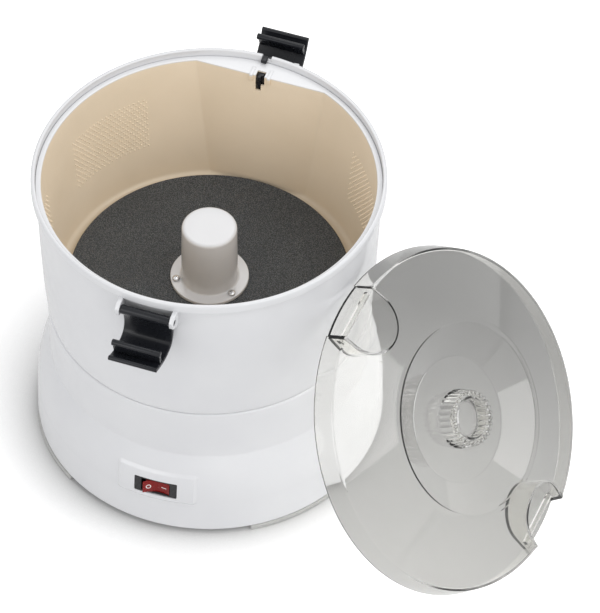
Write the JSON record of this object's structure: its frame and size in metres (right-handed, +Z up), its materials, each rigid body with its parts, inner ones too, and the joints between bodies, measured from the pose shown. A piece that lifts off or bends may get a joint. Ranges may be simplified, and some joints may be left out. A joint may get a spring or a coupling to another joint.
{
  "type": "electric potato peeler",
  "caption": "Electric drum potato peeler: motor base with rocker switch, lined bowl with a spinning abrasive disc, latches at the rim and a clear lid.",
  "frame": {"origin": "centre of the base plate's underside; the feet reach 4 mm below it", "axes": "+Z up along the disc's axis, -Y the front with the rocker switch, +X the side the lid leans on"},
  "size_m": [0.3852, 0.3171, 0.232],
  "materials": {
    "white_plastic": "smooth glossy white",
    "liner_plastic": "smooth cream",
    "black_plastic": "smooth black",
    "grey_plastic": "dark grey",
    "red_plastic": "smooth dark red",
    "clear_plastic": "clear, slightly smoky",
    "foot_rubber": "light grey rubber",
    "seal_rubber": "black rubber",
    "sheet_steel": "plain sheet steel",
    "lamination_steel": "dark laminated steel",
    "bright_steel": "bright turned steel",
    "copper_winding": "enamelled copper winding",
    "bronze": "sintered bronze",
    "gear_nylon": "natural nylon",
    "abrasive_disc": "rough grey abrasive coat"
  },
  "bodies": {
    "machine": {"base_shell": "white_plastic", "base_plate": "white_plastic", "base_screw_1": "bright_steel", "base_screw_2": "bright_steel", "base_screw_3": "bright_steel", "base_screw_4": "bright_steel", "foot_front_left": "foot_rubber", "foot_front_right": "foot_rubber", "foot_rear_right": "foot_rubber", "foot_rear_left": "foot_rubber", "cord_gland": "black_plastic", "switch_housing": "grey_plastic", "drive_plate": "sheet_steel", "drive_plate_screw_1": "bright_steel", "drive_plate_screw_2": "bright_steel", "drive_plate_screw_3": "bright_steel", "drive_plate_screw_4": "bright_steel", "motor_screw_front": "bright_steel", "motor_screw_rear": "bright_steel", "lower_bush": "bronze", "upper_bush": "bronze", "motor_stator": "lamination_steel", "motor_coil": "copper_winding", "motor_bracket_upper": "sheet_steel", "motor_bracket_lower": "sheet_steel", "bowl_shell": "white_plastic", "bowl_screw_1": "bright_steel", "bowl_screw_2": "bright_steel", "bowl_screw_3": "bright_steel", "bowl_screw_4": "bright_steel", "bowl_liner": "liner_plastic", "shaft_seal": "seal_rubber", "microswitch": "grey_plastic", "interlock_spring": "bright_steel"},
    "lid": {"lid": "clear_plastic"},
    "front_clip": {"front_clip": "black_plastic"},
    "rear_clip": {"rear_clip": "black_plastic"},
    "rocker": {"switch_rocker": "red_plastic"},
    "drive": {"output_shaft": "bright_steel", "drive_gear": "gear_nylon", "drive_dog": "bright_steel", "shaft_clip_ring": "sheet_steel"},
    "rotor": {"motor_rotor": "bright_steel", "pinion": "bronze", "motor_fan": "black_plastic"},
    "disc": {"peeling_disc": "abrasive_disc", "hub_cap": "white_plastic", "disc_screw_1": "bright_steel", "disc_screw_2": "bright_steel", "disc_screw_3": "bright_steel"},
    "interlock": {"interlock_rod": "black_plastic", "microswitch_button": "red_plastic"}
  },
  "joints": [
    {"name": "lid_lift", "type": "slide", "parent": "machine", "child": "lid", "axis": [0.7883, -0.1863, 0.5864], "range_m": [0, 0.25]},
    {"name": "front_clip_hinge", "type": "hinge", "parent": "machine", "child": "front_clip", "pos_m": [0, -0.1236, 0.217], "axis": [-1, 0, 0], "range_deg": [0, 180]},
    {"name": "rear_clip_hinge", "type": "hinge", "parent": "machine", "child": "rear_clip", "pos_m": [0, 0.1236, 0.217], "axis": [1, 0, 0], "range_deg": [-34, 146]},
    {"name": "switch_rocker_hinge", "type": "hinge", "parent": "machine", "child": "rocker", "pos_m": [0.0035, -0.11792, 0.03719], "axis": [-0.0035, 0.1177, 0.993], "range_deg": [-22, 0]},
    {"name": "drive_spin", "type": "hinge", "parent": "machine", "child": "drive", "pos_m": [0, 0, 0.093], "axis": [0, 0, 1], "continuous": true},
    {"name": "rotor_spin", "type": "hinge", "parent": "machine", "child": "rotor", "pos_m": [-0.045, 0, 0.057], "axis": [0, 0, 1], "continuous": true},
    {"name": "disc_lift", "type": "slide", "parent": "drive", "child": "disc", "axis": [0, 0, 1], "range_m": [0, 0.105]},
    {"name": "interlock_press", "type": "slide", "parent": "machine", "child": "interlock", "axis": [0, 0, 1], "range_m": [-0.003, 0], "stiffness_N_per_m": 120, "springref_m": 0.003, "deforming": ["interlock_spring"]}
  ],
  "couplings": [
    {"joint": "rotor_spin", "follows": "drive_spin", "ratio": -5}
  ]
}
